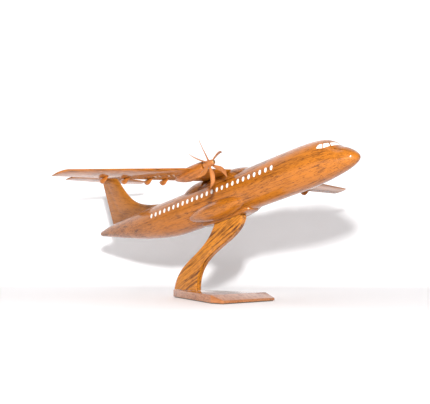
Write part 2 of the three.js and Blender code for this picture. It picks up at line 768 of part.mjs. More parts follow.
// Swept S-shaped plank: both edges are curves, and the sloping top carries the aircraft.
function armSolid() {
  const foot = new THREE.Vector2(armFootRear, armFootZ);
  const footFront = foot.x + armFootLength;
  const top = armTopRear;
  const alongTop = (length) => top.clone().addScaledVector(armTopDirection, length);
  const roundStart = alongTop(armTopLength - armTopCornerRadius);
  const corner = alongTop(armTopLength);
  const roundEnd = new THREE.Vector2(corner.x - armTopCornerRadius * 0.35, corner.y - armTopCornerRadius);
  const rearBend = armHeight * 0.49;
  const shape = new THREE.Shape();
  shape.moveTo(foot.x, foot.y);
  shape.bezierCurveTo(foot.x + 7.5, foot.y + rearBend, top.x - 15.5, top.y - rearBend, top.x, top.y);
  shape.lineTo(roundStart.x, roundStart.y);
  shape.quadraticCurveTo(corner.x, corner.y, roundEnd.x, roundEnd.y);
  const upperBend = new THREE.Vector2(roundEnd.x - 11.5, roundEnd.y - armHeight * 0.41);
  const lowerBend = new THREE.Vector2(footFront - 2, foot.y + armHeight * 0.63);
  shape.bezierCurveTo(upperBend.x, upperBend.y, lowerBend.x, lowerBend.y, footFront, foot.y);
  const plank = { depth: armThickness, curveSegments: 18, bevelEnabled: false };
  const arm = new THREE.ExtrudeGeometry(shape, plank);
  return arm.rotateX(Math.PI / 2).translate(0, armThickness / 2, 0);
}

function standArm() {
  const pinHoles = [-1, 1].map((end) => standPin(end, pinClearance));
  return cut(armSolid(), ...pinHoles, ...screwPlaces.map((place) => standScrew(place, pinClearance)));
}

// Countersunk wood screw, driven up from below; its clearance makes the hole.
function standScrew(place, clearance) {
  const x = armFootRear + armFootLength * place;
  const head = baseBottom + screwHeadSink;
  const low = clearance ? -1 : head; // the hole runs out through the underside
  const point = head + screwLength + clearance;
  const profile = [
    new THREE.Vector2(0, low),
    new THREE.Vector2(screwHeadRadius + clearance, low),
    new THREE.Vector2(screwHeadRadius + clearance, head + screwHeadRim),
    new THREE.Vector2(screwRadius + clearance, head + screwHeadRim + screwHeadRadius - screwRadius),
    new THREE.Vector2(screwRadius + clearance, head + screwLength - screwPointLength),
    new THREE.Vector2(screwPointRadius + clearance, point),
    new THREE.Vector2(0, point),
  ];
  const screw = new THREE.LatheGeometry(profile, smallSides).rotateX(Math.PI / 2);
  return faceOutLathe(screw.translate(x, 0, 0));
}

// A pin square to the arm's sloping top; its clearance makes the hole.
function standPin(end, clearance) {
  const up = new THREE.Vector3(-armTopDirection.y, 0, armTopDirection.x);
  const along = new THREE.Vector3(armTopDirection.x, 0, armTopDirection.y);
  const middle = new THREE.Vector3(armTopMiddle.x, 0, armTopMiddle.y);
  const foot = middle.addScaledVector(along, (end * standPinSpacing) / 2);
  const low = foot.clone().addScaledVector(up, -standPinDepth - clearance);
  const high = foot.clone().addScaledVector(up, standPinStandout);
  return bar(low, high, standPinRadius + clearance);
}

// The blind holes in the belly for the stand's pins, in the aircraft's axes.
function standPinHoles() {
  return [-1, 1].map((end) => {
    const station = restStation - (end * standPinSpacing) / 2;
    const low = at(station, 0, padBottom - 1);
    const high = at(station, 0, padBottom + standPinStandout + 1);
    return bar(low, high, standPinRadius + pinClearance);
  });
}

// ---- assembly ----

function place(group, name, geometry, finish) {
  const mesh = new THREE.Mesh(geometry, new THREE.MeshStandardMaterial(finish));
  mesh.name = name;
  group.add(mesh);
}

function buildAircraft() {
  const aircraft = new THREE.Group();
  place(aircraft, 'fuselage', fuselage(), wood);
  place(aircraft, 'wing_plank', wing(), wood);
  place(aircraft, 'wing_saddle', wingSaddle(), wood);
  place(aircraft, 'belly_pad', bellyPad(), wood);
  place(aircraft, 'fin', fin(), wood);
  const tailplane = cut(tailplaneSolid(0), tailplanePin(pinClearance));
  place(aircraft, 'tailplane', tailplane, wood);
  place(aircraft, 'tailplane_pin', tailplanePin(0), steel);
  finDowelStations.forEach((station, n) => {
    place(aircraft, `fin_dowel_${n + 1}`, finDowel(station, 0), standWood);
  });
  wingDowelStations.forEach((station, n) => {
    place(aircraft, `wing_dowel_${n + 1}`, wingDowel(station, 0), standWood);
  });
  for (const [sideName, side] of [['left', 1], ['right', -1]]) {
    place(aircraft, `nacelle_${sideName}`, nacelle(side), wood);
    place(aircraft, `sponson_${sideName}`, sponson(side), wood);
    place(aircraft, `propeller_pin_${sideName}`, propellerPin(side), brass);
    place(aircraft, `propeller_washer_${sideName}`, propellerWasher(side), brass);
    fairingPlaces.forEach((y, n) => {
      place(aircraft, `flap_fairing_${sideName}_${n + 1}`, flapFairing(side, y), wood);
    });
    const angles = bladeAngles.map((angle) => angle + propellerTurns[sideName]);
    place(aircraft, `propeller_hub_${sideName}`, propellerHub(side, angles), wood);
    angles.forEach((angle, n) => {
      place(aircraft, `blade_${sideName}_${n + 1}`, blade(side, angle), wood);
    });
  }
  return aircraft;
}

// The belly pad rests on the arm's top, so that point of the aircraft fixes where the rest goes.
function standAircraftOnArm(aircraft) {
  aircraft.rotation.y = -noseUp;
  const rest = at(restStation, 0, padBottom - restGap).applyEuler(aircraft.rotation);
  aircraft.position.set(armTopMiddle.x - rest.x, 0, armTopMiddle.y - rest.z);
}

function buildStand() {
  const stand = new THREE.Group();
  place(stand, 'base_felt', baseFelt(), felt);
  place(stand, 'base_plate', basePlate(), standWood);
  place(stand, 'stand_arm', standArm(), standWood);
  screwPlaces.forEach((share, n) => place(stand, `stand_screw_${n + 1}`, standScrew(share, 0), steel));
  [-1, 1].forEach((end, n) => place(stand, `stand_pin_${n + 1}`, standPin(end, 0), steel));
  return stand;
}

const model = new THREE.Group();
const aircraft = buildAircraft();
standAircraftOnArm(aircraft);
model.add(buildStand(), aircraft);
model.updateMatrixWorld(true);

export default model;
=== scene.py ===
import json
import math

import bmesh
import bpy
from mathutils import Matrix, Vector


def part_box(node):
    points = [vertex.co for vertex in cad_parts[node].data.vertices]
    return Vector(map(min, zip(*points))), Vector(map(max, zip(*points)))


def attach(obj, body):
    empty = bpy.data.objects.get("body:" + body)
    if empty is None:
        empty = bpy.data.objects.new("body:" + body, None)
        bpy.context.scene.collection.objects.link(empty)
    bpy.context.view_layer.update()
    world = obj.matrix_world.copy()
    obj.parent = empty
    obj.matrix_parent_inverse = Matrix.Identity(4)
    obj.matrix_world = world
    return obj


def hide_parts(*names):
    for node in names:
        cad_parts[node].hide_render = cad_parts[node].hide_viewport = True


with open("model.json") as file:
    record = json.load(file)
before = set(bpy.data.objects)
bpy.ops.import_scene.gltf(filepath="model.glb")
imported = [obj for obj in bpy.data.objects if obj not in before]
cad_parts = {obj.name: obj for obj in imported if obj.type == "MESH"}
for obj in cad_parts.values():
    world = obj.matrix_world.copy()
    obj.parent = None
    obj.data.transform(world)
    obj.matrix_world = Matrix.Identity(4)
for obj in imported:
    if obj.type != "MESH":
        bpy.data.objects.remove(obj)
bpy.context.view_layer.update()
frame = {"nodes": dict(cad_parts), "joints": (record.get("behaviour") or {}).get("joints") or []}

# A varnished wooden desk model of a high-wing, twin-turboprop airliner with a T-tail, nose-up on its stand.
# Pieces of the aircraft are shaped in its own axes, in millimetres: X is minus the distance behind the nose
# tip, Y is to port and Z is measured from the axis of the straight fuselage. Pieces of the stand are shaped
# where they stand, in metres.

# ---- Camera ----
# About 0.9 m off the starboard bow with a long lens, a little above the desk, so that it looks up slightly
# at the underside of the wing.

view_turn = 47.055
view_rise = 2.55
view_roll = 0.175
bpy.ops.object.camera_add(location=(0.6689, -0.6175, 0.0628))
camera = bpy.context.object
camera.name = "camera"
camera.rotation_euler = [math.radians(angle) for angle in (90 + view_rise, -view_roll, view_turn)]
camera.data.lens = 71.86
camera.data.sensor_width = 36
camera.data.clip_start = 0.02
bpy.context.scene.camera = camera

# ---- Studio: floor and sweep, lights ----
# A sheet of matt white board lies on the table and curves up behind the model. It is clear from behind.
# A small lamp over the camera throws the model's shadow on it, and a wide one overhead softens the rest.

floor_size = 2.4
sweep_distance = 0.22
sweep_radius = 0.05
sweep_height = 1.2
sweep_steps = 14

bpy.ops.object.select_all(action="DESELECT")
bpy.ops.mesh.primitive_plane_add(size=floor_size, location=(0, sweep_distance - floor_size / 2, 0))
floor = bpy.context.object
floor.name = "white_board"
bpy.ops.object.transform_apply(location=True)
bpy.ops.object.mode_set(mode="EDIT")
edit = bmesh.from_edit_mesh(floor.data)
for vertex in edit.verts:
    vertex.select = vertex.co.y > sweep_distance - 0.01
edit.select_flush_mode()
bpy.ops.mesh.select_mode(type="EDGE")
step_length = 2 * sweep_radius * math.sin(math.pi / 4 / sweep_steps)
for n in range(sweep_steps):
    rise = math.pi / 2 * (n + 0.5) / sweep_steps
    step = (0, step_length * math.cos(rise), step_length * math.sin(rise))
    bpy.ops.mesh.extrude_region_move(TRANSFORM_OT_translate={"value": step})
bpy.ops.mesh.extrude_region_move(TRANSFORM_OT_translate={"value": (0, 0, sweep_height)})
bpy.ops.mesh.select_all(action="SELECT")
bpy.ops.mesh.normals_make_consistent(inside=False)
bpy.ops.object.mode_set(mode="OBJECT")
floor.rotation_euler = (0, 0, math.radians(view_turn))
bpy.ops.object.transform_apply(rotation=True)
if floor.data.polygons[0].normal.z < 0:
    floor.data.flip_normals()
bpy.ops.object.shade_smooth()

board = bpy.data.materials.new("white_board")
board.use_nodes = True
nodes = board.node_tree.nodes
links = board.node_tree.links
surface = nodes["Principled BSDF"]
surface.inputs["Roughness"].default_value = 0.7
surface.inputs["Specular IOR Level"].default_value = 0.25
paper = nodes.new("ShaderNodeTexNoise")
paper.inputs["Scale"].default_value = 900
whiteness = nodes.new("ShaderNodeMix")
whiteness.data_type = "RGBA"
whiteness.inputs["A"].default_value = (0.93, 0.93, 0.94, 1)
whiteness.inputs["B"].default_value = (0.95, 0.95, 0.96, 1)
links.new(paper.outputs["Fac"], whiteness.inputs["Factor"])
links.new(whiteness.outputs["Result"], surface.inputs["Base Color"])
clear = nodes.new("ShaderNodeBsdfTransparent")
facing = nodes.new("ShaderNodeNewGeometry")
either = nodes.new("ShaderNodeMixShader")
links.new(facing.outputs["Backfacing"], either.inputs["Fac"])
links.new(surface.outputs["BSDF"], either.inputs[1])
links.new(clear.outputs["BSDF"], either.inputs[2])
links.new(either.outputs["Shader"], nodes["Material Output"].inputs["Surface"])
floor.data.materials.append(board)

sky = bpy.data.worlds.new("studio")
sky.use_nodes = True
sky.node_tree.nodes["Background"].inputs["Color"].default_value = (1.0, 0.94, 0.92, 1)
sky.node_tree.nodes["Background"].inputs["Strength"].default_value = 0.40
bpy.context.scene.world = sky
bpy.context.scene.view_settings.view_transform = "Standard"


def soft_light(name, towards, distance, size, power, aim=(0, 0, 0.1)):
    """An area light that faces the model from a direction."""
    place = Vector(aim) + Vector(towards).normalized() * distance
    bpy.ops.object.light_add(type="AREA", location=place)
    light = bpy.context.object
    light.name = name
    light.data.shape = "DISK"
    light.data.size = size
    light.data.energy = power
    light.rotation_euler = (Vector(aim) - place).to_track_quat("-Z", "Y").to_euler()


soft_light("key_light", (0.6689, -0.6175, 0.1475), 0.92, 0.05, 11.5)
soft_light("top_light", (-0.2, -0.35, 1.0), 1.6, 0.9, 2)

# ---- Fuselage ----
# Carved from one block, straight through the cabin, with the cockpit's brow cut into the nose and the tail
# swept up. It is sanded, stained and sprayed with many coats of clear gloss lacquer.

fuselage_length = 400
fuselage_radius = 21.1
nose_length = 75
nose_drop = 8
tail_length = 148
tail_rise = 14.7
tail_tip = 2.3
tail_end = 3
tail_start = fuselage_length - tail_length
end_start = fuselage_length - tail_end
nose_rings = 26
cabin_rings = 6
tail_rings = 22

spin = next(joint for joint in frame["joints"] if joint["name"] == "propeller_left_spin")
forward = Vector(spin["axis"]).normalized()
port = Vector((0, 1, 0))
upward = forward.cross(port)
propeller_station = 131.2
propeller_height = 20.752
propeller_y = spin["pos_m"][1] * 1000
nose_tip = Vector(spin["pos_m"]) - (
    -propeller_station * forward + propeller_y * port + propeller_height * upward) / 1000
aircraft_axes = Matrix.Translation(nose_tip) @ Matrix((forward, port, upward)).transposed().to_4x4()
aircraft_axes = aircraft_axes @ Matrix.Diagonal((0.001, 0.001, 0.001, 1))


def begin(operator, name, **how):
    """Adds a primitive with nothing else selected, names it and opens it for shaping."""
    bpy.ops.object.select_all(action="DESELECT")
    operator(**how)
    piece = bpy.context.object
    piece.name = name
    piece.data.name = name
    bpy.ops.object.transform_apply(location=True, rotation=True, scale=True)
    bpy.ops.object.mode_set(mode="EDIT")
    bpy.ops.mesh.select_all(action="SELECT")
    return piece


def begin_ring(name, across, sides):
    """A filled circle of radius 1 that faces along one axis, ready to be drawn out."""
    turns = {"X": (0, math.pi / 2, 0), "Y": (math.pi / 2, 0, 0), "Z": (0, 0, 0)}
    circle = bpy.ops.mesh.primitive_circle_add
    return begin(circle, name, vertices=sides, radius=1, fill_type="NGON", rotation=turns[across])


def draw_out(rings):
    """Extrudes the selected face through rings, each its middle and its stretch along X, Y and Z."""
    middle, stretch = rings[0]
    bpy.ops.transform.resize(value=stretch, center_override=(0, 0, 0))
    bpy.ops.transform.translate(value=middle)
    for (before, old), (after, new) in zip(rings, rings[1:]):
        step = [b - a for a, b in zip(before, after)]
        growth = [n / o for o, n in zip(old, new)]
        bpy.ops.mesh.extrude_region_move(TRANSFORM_OT_translate={"value": step})
        bpy.ops.transform.resize(value=growth, center_override=after)


def close_shape(piece, subdivisions=1, crease_angle=40):
    """Turns the faces outwards, leaves edit mode and smooths the surface."""
    bpy.ops.mesh.select_all(action="SELECT")
    bpy.ops.mesh.remove_doubles(threshold=1e-5)
    bpy.ops.mesh.normals_make_consistent(inside=False)
    bpy.ops.object.mode_set(mode="OBJECT")
    if subdivisions:
        rounding = piece.modifiers.new("rounding", "SUBSURF")
        rounding.levels = subdivisions
        rounding.render_levels = subdivisions
        bpy.ops.object.modifier_apply(modifier=rounding.name)
    bpy.ops.object.shade_smooth_by_angle(angle=math.radians(crease_angle))


def settle(piece, place, body, slot, finish, *stands_for):
    """Moves a finished mesh to its place and fixes it to its body."""
    piece.matrix_world = place
    bpy.ops.object.select_all(action="DESELECT")
    piece.select_set(True)
    bpy.context.view_layer.objects.active = piece
    bpy.ops.object.transform_apply(location=True, rotation=True, scale=True)
    piece.data.materials.clear()
    piece.data.materials.append(finish)
    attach(piece, body)
    if stands_for:
        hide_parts(*stands_for)


def duplicate(piece, name):
    """A copy with its own mesh."""
    copy = piece.copy()
    copy.data = piece.data.copy()
    copy.name = name
    copy.data.name = name
    bpy.context.collection.objects.link(copy)
    return copy


# Crown of the nose: share of the nose's length, share of its height from the tip to the top.
nose_crown = [
    (0, 0), (0.008, 0.08), (0.027, 0.15), (0.067, 0.26), (0.16, 0.433), (0.235, 0.528), (0.267, 0.615),
    (0.307, 0.722), (0.373, 0.832), (0.48, 0.921), (0.667, 0.979), (1, 1),
]


def crown_share(share):
    """The crown's height along the nose, as a smooth curve through its points."""
    at = math.sqrt(share)
    points = [(math.sqrt(x), y) for x, y in nose_crown]
    slopes = [(b[1] - a[1]) / (b[0] - a[0]) for a, b in zip(points, points[1:])]
    tangents = [slopes[0]] + [(a + b) / 2 for a, b in zip(slopes, slopes[1:])] + [0]
    n = max(i for i in range(len(slopes)) if points[i][0] <= at)
    width = points[n + 1][0] - points[n][0]
    t = (at - points[n][0]) / width
    low, high = points[n][1], points[n + 1][1]
    start, end = tangents[n] * width, tangents[n + 1] * width
    bend = 3 * (high - low) - 2 * start - end
    return low + t * start + t ** 2 * bend + t ** 3 * (start + end - 2 * (high - low))


def mix(start, end, share):
    return start + (end - start) * share


def fuselage_ring(station):
    """The oval section at a distance behind the nose: lowest, highest and half width."""
    if station < nose_length:
        share = station / nose_length
        swell = math.sqrt(1 - (1 - share) ** 2)
        low = -nose_drop - (fuselage_radius - nose_drop) * swell
        high = -nose_drop + (fuselage_radius + nose_drop) * crown_share(share)
        return low, high, fuselage_radius * swell
    share = max(0, (station - tail_start) / tail_length)
    tip = tail_tip * share ** 4
    low = mix(-fuselage_radius, tail_rise, share ** 1.5) - tip
    high = mix(fuselage_radius, tail_rise, share ** 6) + tip
    half_width = fuselage_radius * (1 - share ** 2) + tip
    # the very end is rounded off
    past = max(0, station - end_start) / tail_end
    end = math.sqrt(max(1 - past ** 2, 0.01))
    middle = (low + high) / 2
    return mix(middle, low, end), mix(middle, high, end), half_width * end


def oval(station, y, low, high, half_width):
    """A ring for draw_out, across the aircraft's length."""
    return (-station, y, (low + high) / 2), (1, half_width, (high - low) / 2)


stations = [nose_length * max(n / nose_rings, 0.02) ** 2 for n in range(nose_rings)]
stations += [mix(nose_length, tail_start, n / cabin_rings) for n in range(cabin_rings)]
stations += [mix(tail_start, end_start, n / tail_rings) for n in range(tail_rings)]
stations += [end_start + tail_end * share for share in (0, 0.35, 0.65, 0.85, 0.95, 1)]
fuselage = begin_ring("carved_fuselage", "X", 40)
draw_out([oval(station, 0, *fuselage_ring(station)) for station in stations])
close_shape(fuselage)

# The lacquered mahogany of the whole aircraft: one grain group, with its own values in each material.
grain = bpy.data.node_groups.new("mahogany_grain", "ShaderNodeTree")
for name, kind, value in (
        ("Place", "NodeSocketVector", None),
        ("Pale", "NodeSocketColor", (0.72, 0.31, 0.07, 1)),
        ("Deep", "NodeSocketColor", (0.25, 0.07, 0.015, 1)),
        ("Streaks", "NodeSocketFloat", 0.5),
        ("Pores", "NodeSocketFloat", 0.5),
        ("Figure", "NodeSocketFloat", 0.5)):
    socket = grain.interface.new_socket(name, in_out="INPUT", socket_type=kind)
    if value is not None:
        socket.default_value = value
for name, kind in (
        ("Colour", "NodeSocketColor"),
        ("Roughness", "NodeSocketFloat"),
        ("Height", "NodeSocketFloat")):
    grain.interface.new_socket(name, in_out="OUTPUT", socket_type=kind)


def add_node(tree, kind, inputs=None, **settings):
    """Adds a node, sets it up and links or fills its inputs: a socket is linked, any other value is set."""
    node = tree.nodes.new(kind)
    for key, value in settings.items():
        setattr(node, key, value)
    for key, value in (inputs or {}).items():
        if isinstance(value, bpy.types.NodeSocket):
            tree.links.new(value, node.inputs[key])
        else:
            node.inputs[key].default_value = value
    return node


def maths(tree, operation, first, second=0.0):
    return add_node(tree, "ShaderNodeMath", {0: first, 1: second}, operation=operation).outputs[0]


def stretched_noise(tree, place, stretch, scale, detail, roughness, distortion=0.0):
    """Noise drawn out along X."""
    drawn = add_node(tree, "ShaderNodeVectorMath", {0: place, 1: stretch}, operation="MULTIPLY")
    settings = {"Vector": drawn.outputs[0], "Scale": scale, "Detail": detail, "Roughness": roughness,
                "Distortion": distortion}
    return add_node(tree, "ShaderNodeTexNoise", settings).outputs["Fac"]


def ramp(tree, value, low, high):
    """0 below low, 1 above high."""
    inputs = {"Value": value, "From Min": low, "From Max": high}
    return add_node(tree, "ShaderNodeMapRange", inputs, interpolation_type="SMOOTHSTEP").outputs["Result"]


given = grain.nodes.new("NodeGroupInput").outputs
warp = stretched_noise(grain, given["Place"], (0.25, 1, 1), 22, 2, 0.5)
offset = add_node(grain, "ShaderNodeCombineXYZ", {"Y": maths(grain, "MULTIPLY", warp, 0.010),
                                                  "Z": maths(grain, "MULTIPLY", warp, 0.014)})
moved = add_node(grain, "ShaderNodeVectorMath", {0: given["Place"], 1: offset.outputs[0]}, operation="ADD")
wandering = moved.outputs[0]
broad = stretched_noise(grain, wandering, (0.12, 1, 1), 60, 3, 0.55, 0.4)
lines = stretched_noise(grain, wandering, (0.035, 1, 1), 560, 3, 0.6, 0.2)
fine = stretched_noise(grain, wandering, (0.14, 1, 1), 760, 3, 0.65)
pores = ramp(grain, stretched_noise(grain, wandering, (0.09, 1, 1), 2200, 1, 0.5), 0.60, 0.72)
curl = stretched_noise(grain, wandering, (1, 0.35, 0.35), 95, 2, 0.5, 0.6)
streak = ramp(grain, lines, 0.42, 0.72)
depth = maths(grain, "MULTIPLY", ramp(grain, broad, 0.35, 0.72), given["Figure"])
depth = maths(grain, "ADD", depth, maths(grain, "MULTIPLY", streak, given["Streaks"]))
depth = maths(grain, "ADD", depth, maths(grain, "MULTIPLY", maths(grain, "SUBTRACT", fine, 0.5), 1.5))
depth = maths(grain, "ADD", depth, maths(grain, "MULTIPLY", maths(grain, "SUBTRACT", curl, 0.5), 0.6))
depth = maths(grain, "ADD", depth, maths(grain, "MULTIPLY", pores, given["Pores"]))
depth = ramp(grain, depth, -0.1, 1.15)
toned = add_node(grain, "ShaderNodeMix", {"Factor": depth, "A": given["Pale"], "B": given["Deep"]},
                 data_type="RGBA")
result = grain.nodes.new("NodeGroupOutput").inputs
grain.links.new(toned.outputs["Result"], result["Colour"])
grain.links.new(maths(grain, "ADD", maths(grain, "MULTIPLY", depth, 0.18), 0.30), result["Roughness"])
height = maths(grain, "SUBTRACT", maths(grain, "MULTIPLY", curl, 0.6), maths(grain, "MULTIPLY", pores, 0.5))
grain.links.new(height, result["Height"])


def lacquered_wood(name, turn, shift, pale, deep, streaks, pores, figure, coat_roughness=0.05):
    """Gloss lacquer over figured wood; turn brings the grain's direction onto X."""
    material = bpy.data.materials.new(name)
    material.use_nodes = True
    tree = material.node_tree
    place = add_node(tree, "ShaderNodeTexCoord").outputs["Object"]
    turned = add_node(tree, "ShaderNodeMapping", {
        "Vector": place, "Location": shift, "Rotation": [math.radians(angle) for angle in turn]})
    wood = add_node(tree, "ShaderNodeGroup", node_tree=grain)
    tree.links.new(turned.outputs[0], wood.inputs["Place"])
    for key, value in (("Pale", (*pale, 1)), ("Deep", (*deep, 1)), ("Streaks", streaks), ("Pores", pores),
                       ("Figure", figure)):
        wood.inputs[key].default_value = value
    shader = tree.nodes["Principled BSDF"]
    relief = {"Height": wood.outputs["Height"], "Strength": 0.10, "Distance": 0.0004}
    bump = add_node(tree, "ShaderNodeBump", relief)
    tree.links.new(wood.outputs["Colour"], shader.inputs["Base Color"])
    tree.links.new(wood.outputs["Roughness"], shader.inputs["Roughness"])
    tree.links.new(bump.outputs[0], shader.inputs["Normal"])
    shader.inputs["Specular IOR Level"].default_value = 0.1
    shader.inputs["Coat Weight"].default_value = 0.9
    shader.inputs["Coat Roughness"].default_value = coat_roughness
    shader.inputs["Coat IOR"].default_value = 1.48
    return material


nose_up = math.degrees(math.atan2(forward.z, forward.x))
orange = (0.43, 0.135, 0.010)
brown = (0.085, 0.022, 0.002)
fuselage_wood = lacquered_wood("fuselage_wood", (0, nose_up, 0), (0.3, 0.02, 0.01), orange, brown,
                               0.45, 0.8, 0.4)
settle(fuselage, aircraft_axes, "aircraft", "varnished_mahogany", fuselage_wood, "fuselage")

# ---- Cabin windows and cockpit panes ----
# Twenty-five oval windows and three cockpit panes on each side, in thin off-white enamel. They are
# stencilled onto the stained wood before the last coats of lacquer.

window_count = 25
first_window = 88.65
window_pitch = 7.82
window_height = 6.6
window_half_width = 1.7
window_half_height = 2.9
paint_thickness = 0.09

enamel = bpy.data.materials.new("white_enamel")
enamel.use_nodes = True
tree = enamel.node_tree
place = add_node(tree, "ShaderNodeTexCoord").outputs["Object"]
brush = add_node(tree, "ShaderNodeTexNoise", {"Vector": place, "Scale": 900.0, "Detail": 2.0})
brushed = brush.outputs["Fac"]
creams = {"Factor": brushed, "A": (0.86, 0.83, 0.76, 1), "B": (0.93, 0.91, 0.86, 1)}
cream = add_node(tree, "ShaderNodeMix", creams, data_type="RGBA")
shader = tree.nodes["Principled BSDF"]
tree.links.new(cream.outputs["Result"], shader.inputs["Base Color"])
tree.links.new(maths(tree, "ADD", maths(tree, "MULTIPLY", brushed, 0.12), 0.22), shader.inputs["Roughness"])
shader.inputs["Coat Weight"].default_value = 1
shader.inputs["Coat Roughness"].default_value = 0.04


def paint_on(patches, name, side):
    """Joins flat patches, wraps them onto the fuselage and gives them a film's thickness."""
    bpy.ops.object.select_all(action="DESELECT")
    for patch in patches:
        patch.select_set(True)
    layer = patches[0]
    bpy.context.view_layer.objects.active = layer
    bpy.ops.object.join()
    layer.name = name
    layer.data.name = name
    layer.matrix_world = aircraft_axes
    bpy.ops.object.transform_apply(location=True, rotation=True, scale=True)
    wrap = layer.modifiers.new("wrap", "SHRINKWRAP")
    wrap.target = fuselage
    wrap.wrap_method = "NEAREST_SURFACEPOINT"
    wrap.wrap_mode = "ABOVE_SURFACE"
    wrap.offset = paint_thickness / 1000
    bpy.ops.object.modifier_apply(modifier=wrap.name)
    bpy.ops.object.mode_set(mode="EDIT")
    bpy.ops.mesh.select_all(action="SELECT")
    bpy.ops.mesh.normals_make_consistent(inside=False)
    bpy.ops.object.mode_set(mode="OBJECT")
    if layer.data.polygons[0].normal.y * side < 0:
        layer.data.flip_normals()
    film = layer.modifiers.new("film", "SOLIDIFY")
    film.thickness = 1.6 * paint_thickness / 1000
    film.offset = -1
    bpy.ops.object.modifier_apply(modifier=film.name)
    bpy.ops.object.shade_smooth_by_angle(angle=math.radians(40))
    settle(layer, Matrix(), "aircraft", "varnished_mahogany", enamel)


for side_name, side in (("left", 1), ("right", -1)):
    windows = []
    for n in range(window_count):
        station = first_window + window_pitch * n
        window = begin_ring(f"window_{n}", "Y", 20)
        middle = (-station, side * fuselage_radius, window_height)
        draw_out([(middle, (window_half_width, 1, window_half_height))])
        bpy.ops.mesh.inset(thickness=0.5)
        bpy.ops.mesh.poke()
        bpy.ops.object.mode_set(mode="OBJECT")
        windows.append(window)
    paint_on(windows, f"cabin_windows_{side_name}", side)

# Corners of the three panes on each side, from the rear one to the windscreen: behind the nose, out, up.
pane_corners = (
    ((34.6, 15.5, 8.6), (33.2, 12.9, 11.9), (29.9, 11.6, 11.8), (28.2, 14.4, 6.9)),
    ((28.9, 11.4, 11.7), (24.6, 8.5, 11.2), (22.1, 10.3, 7.6), (27.3, 14.3, 7.0)),
    ((23.8, 7.7, 11.1), (21.6, 0.7, 11.2), (18.3, 0.7, 7.5), (21.2, 9.8, 7.3)),
)
for side_name, side in (("left", 1), ("right", -1)):
    panes = []
    for corners in pane_corners:
        pane = begin(bpy.ops.mesh.primitive_plane_add, "pane", size=2)
        edit = bmesh.from_edit_mesh(pane.data)
        around = sorted(edit.verts, key=lambda vertex: math.atan2(vertex.co.y, vertex.co.x))
        for vertex, (station, out, up) in zip(around, corners):
            vertex.co = (-station, side * out, up)
        bmesh.update_edit_mesh(pane.data)
        bpy.ops.mesh.bevel(offset=0.9, segments=3, affect="VERTICES")
        bpy.ops.mesh.poke()
        bpy.ops.mesh.subdivide(number_cuts=4)
        bpy.ops.object.mode_set(mode="OBJECT")
        panes.append(pane)
    paint_on(panes, f"cockpit_panes_{side_name}", side)

# ---- Wing ----
# One plank from tip to tip, planed to a thin section, tapered outboard of the nacelles, its tips drooped
# a little. It lies in the saddle's seat and is glued and dowelled there.

wing_half_span = 200.5
wing_station = 152
wing_chord = 41
wing_tip_chord = 20.5
wing_tip_sweep = 17.5
wing_thickness = 5
wing_tip_thickness = 2.6
wing_height = fuselage_radius + 2.4
wing_droop = 6.3
wing_corner = 7
straight_half = 61.8
tip_rounding = 5


def press_section(piece, length_axis, thickness_axis, upper=1.0, lower=1.0, notch=None):
    """Presses the selected circle into a streamlined section, blunt at the front and thin behind."""
    edit = bmesh.from_edit_mesh(piece.data)
    shares = sorted({round((1 - vertex.co[length_axis]) / 2, 5) for vertex in edit.verts})
    for share in shares:
        if share < 0.001 or share > 0.999:
            continue
        half = 1.4845 * math.sqrt(share) - 0.63 * share - 1.758 * share ** 2 + 1.4215 * share ** 3
        half = 2 * (half - 0.518 * share ** 4) + 0.16 * share
        if notch and abs(share - notch[0]) < notch[1]:
            half -= notch[2]
        circle = math.sqrt(1 - (1 - 2 * share) ** 2)
        for above, part in ((True, upper), (False, lower)):
            edit = bmesh.from_edit_mesh(piece.data)
            for vertex in edit.verts:
                here = abs((1 - vertex.co[length_axis]) / 2 - share) < 0.0001
                vertex.select = here and (vertex.co[thickness_axis] > 0) == above
            edit.select_flush_mode()
            stretch = [1.0, 1.0, 1.0]
            stretch[thickness_axis] = part * half / circle
            bpy.ops.transform.resize(value=stretch, center_override=(0, 0, 0))
    bpy.ops.mesh.select_all(action="SELECT")


def wing_section(y):
    """Middle, half chord and half thickness of the wing's section at a distance from the centreline."""
    outboard = max(0, abs(y) - straight_half) / (wing_half_span - straight_half)
    tip_end = max(0, abs(y) - (wing_half_span - tip_rounding)) / tip_rounding
    corner = wing_corner * tip_end ** 2
    chord = mix(wing_chord, wing_tip_chord, outboard) - corner
    front = wing_station + wing_tip_sweep * outboard + corner
    thickness = mix(wing_thickness, wing_tip_thickness, abs(y) / wing_half_span) * (1 - 0.5 * tip_end ** 2)
    height = wing_height - wing_droop * abs(y) / wing_half_span
    return (-front - chord / 2, y, height), (chord / 2, 1, thickness / 2)


wing = begin_ring("wing_board", "Y", 72)
press_section(wing, 0, 2, upper=1.12, lower=0.88)
half_places = [0, 10, 30, 55, straight_half, 70, 95, 120, 145, 170, 188]
half_places += [195.5, 197.5, 199, 200, wing_half_span]
places = sorted({y for place in half_places for y in (place, -place)})
draw_out([wing_section(y) for y in places])
close_shape(wing, subdivisions=0, crease_angle=50)
wing_wood = lacquered_wood("wing_wood", (0, nose_up, 90), (0.1, 0.3, 0.2), orange, brown, 0.6, 0.4, 0.35)
settle(wing, aircraft_axes, "aircraft", "varnished_mahogany", wing_wood, "wing_plank")

# ---- Wing saddle ----
# A block of the same wood let into the top of the fuselage, rounded over ahead of the wing and behind it.
# It is cut away for the wing plank, which lies in it and is glued and dowelled.

saddle_front = 128
saddle_rear = 231
saddle_half_width = 16
saddle_ramp_front = 0.28
saddle_ramp_rear = 0.27
saddle_front_height = 4
saddle_rear_height = 5.9
saddle_bottom = 4
saddle_sink = 1.5
saddle_end_width = 0.75
saddle_inset = 0.2
seat_depth = 0.5
seat_gap = 0.4
seat_wall = 0.3
seat_middle = 20


